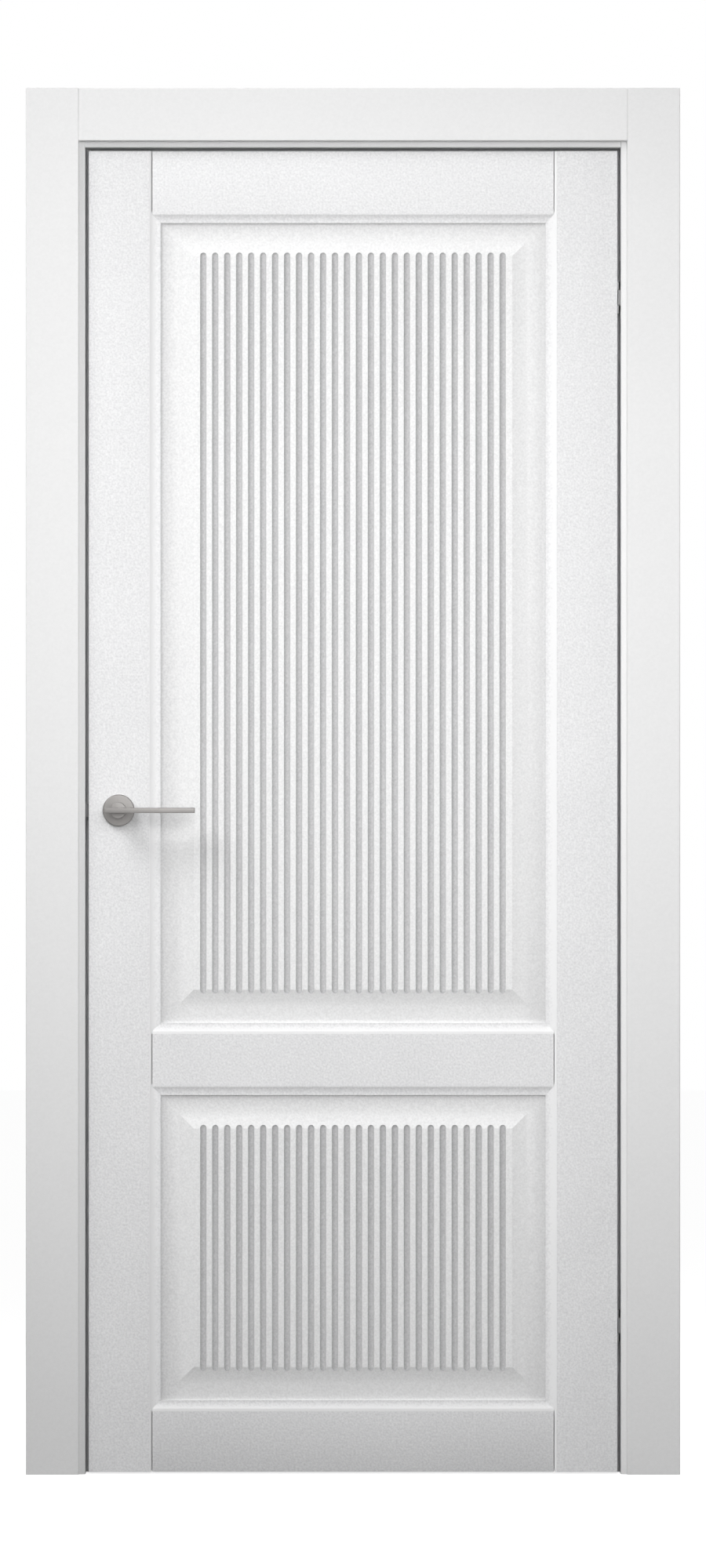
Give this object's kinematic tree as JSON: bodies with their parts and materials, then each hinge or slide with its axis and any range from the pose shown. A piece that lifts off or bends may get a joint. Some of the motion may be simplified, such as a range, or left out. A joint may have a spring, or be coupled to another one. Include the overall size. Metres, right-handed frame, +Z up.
{
  "type": "interior door",
  "caption": "Hinged interior door set: fluted two-panel leaf with lever handle, concealed hinges, jambs, stops, seals and flat casings on both faces.",
  "frame": {"origin": "foot of the hinge jamb, in the middle of its face against the wall, at floor level", "axes": "+X towards the hinge side's wall, +Y away from the side shown in the picture, +Z up"},
  "size_m": [0.989, 0.161, 2.0975],
  "materials": {
    "leaf_enamel": "white enamel, fine grained, matt",
    "casing_paint": "white enamel, smooth, matt",
    "frame_paint": "white enamel, smooth, matt",
    "seal": "light grey soft seal",
    "satin_nickel": "satin nickel plated",
    "latch_steel": "plated steel",
    "hinge_metal": "satin plated die casting"
  },
  "bodies": {
    "frame": {"jamb_hinge_side": "frame_paint", "jamb_latch_side": "frame_paint", "jamb_head": "frame_paint", "stop_hinge_side": "frame_paint", "stop_latch_side": "frame_paint", "stop_head": "frame_paint", "seal_hinge_side": "seal", "seal_latch_side": "seal", "seal_head": "seal", "casing_front_left": "casing_paint", "casing_front_right": "casing_paint", "casing_front_head": "casing_paint", "casing_back_left": "casing_paint", "casing_back_right": "casing_paint", "casing_back_head": "casing_paint", "strike_plate": "latch_steel", "hinge_body_frame_bottom": "hinge_metal", "hinge_body_frame_top": "hinge_metal"},
    "leaf": {"stile_hinge_side": "leaf_enamel", "stile_latch_side": "leaf_enamel", "rail_bottom": "leaf_enamel", "rail_middle": "leaf_enamel", "rail_top": "leaf_enamel", "panel_lower": "leaf_enamel", "panel_upper": "leaf_enamel", "rose_front": "satin_nickel", "rose_back": "satin_nickel", "latch_forend": "latch_steel", "latch_case": "latch_steel", "hinge_body_leaf_bottom": "hinge_metal", "hinge_body_leaf_top": "hinge_metal"},
    "handle": {"lever_front": "satin_nickel", "lever_back": "satin_nickel", "spindle": "latch_steel"},
    "latch": {"latch_bolt": "latch_steel"},
    "hinge_arms_frame": {"hinge_arm_frame_bottom": "hinge_metal", "hinge_arm_frame_top": "hinge_metal"},
    "hinge_arms_leaf": {"hinge_arm_leaf_bottom": "hinge_metal", "hinge_arm_leaf_top": "hinge_metal"}
  },
  "joints": [
    {"name": "leaf_swing", "type": "hinge", "parent": "frame", "child": "leaf", "pos_m": [-0.0345, -0.049, 0], "axis": [0, 0, 1], "range_deg": [0, 105]},
    {"name": "handle_turn", "type": "hinge", "parent": "leaf", "child": "handle", "pos_m": [-0.7915, -0.045, 1.005], "axis": [0, 1, 0], "range_deg": [0, 40], "stiffness_Nm_per_rad": 1.2, "springref_deg": -17.19},
    {"name": "latch_slide", "type": "slide", "parent": "leaf", "child": "latch", "axis": [1, 0, 0], "range_m": [0, 0.0115]},
    {"name": "frame_arm_turn", "type": "hinge", "parent": "frame", "child": "hinge_arms_frame", "pos_m": [-0.0225, -0.032, 0], "axis": [0, 0, 1], "range_deg": [0, 105]},
    {"name": "leaf_arm_turn", "type": "hinge", "parent": "leaf", "child": "hinge_arms_leaf", "pos_m": [-0.0465, -0.032, 0], "axis": [0, 0, 1], "range_deg": [-105, 0]}
  ],
  "couplings": [
    {"joint": "latch_slide", "follows": "handle_turn", "m_per_rad": 0.0164},
    {"joint": "frame_arm_turn", "follows": "leaf_swing", "ratio": 1},
    {"joint": "leaf_arm_turn", "follows": "leaf_swing", "ratio": -1}
  ]
}
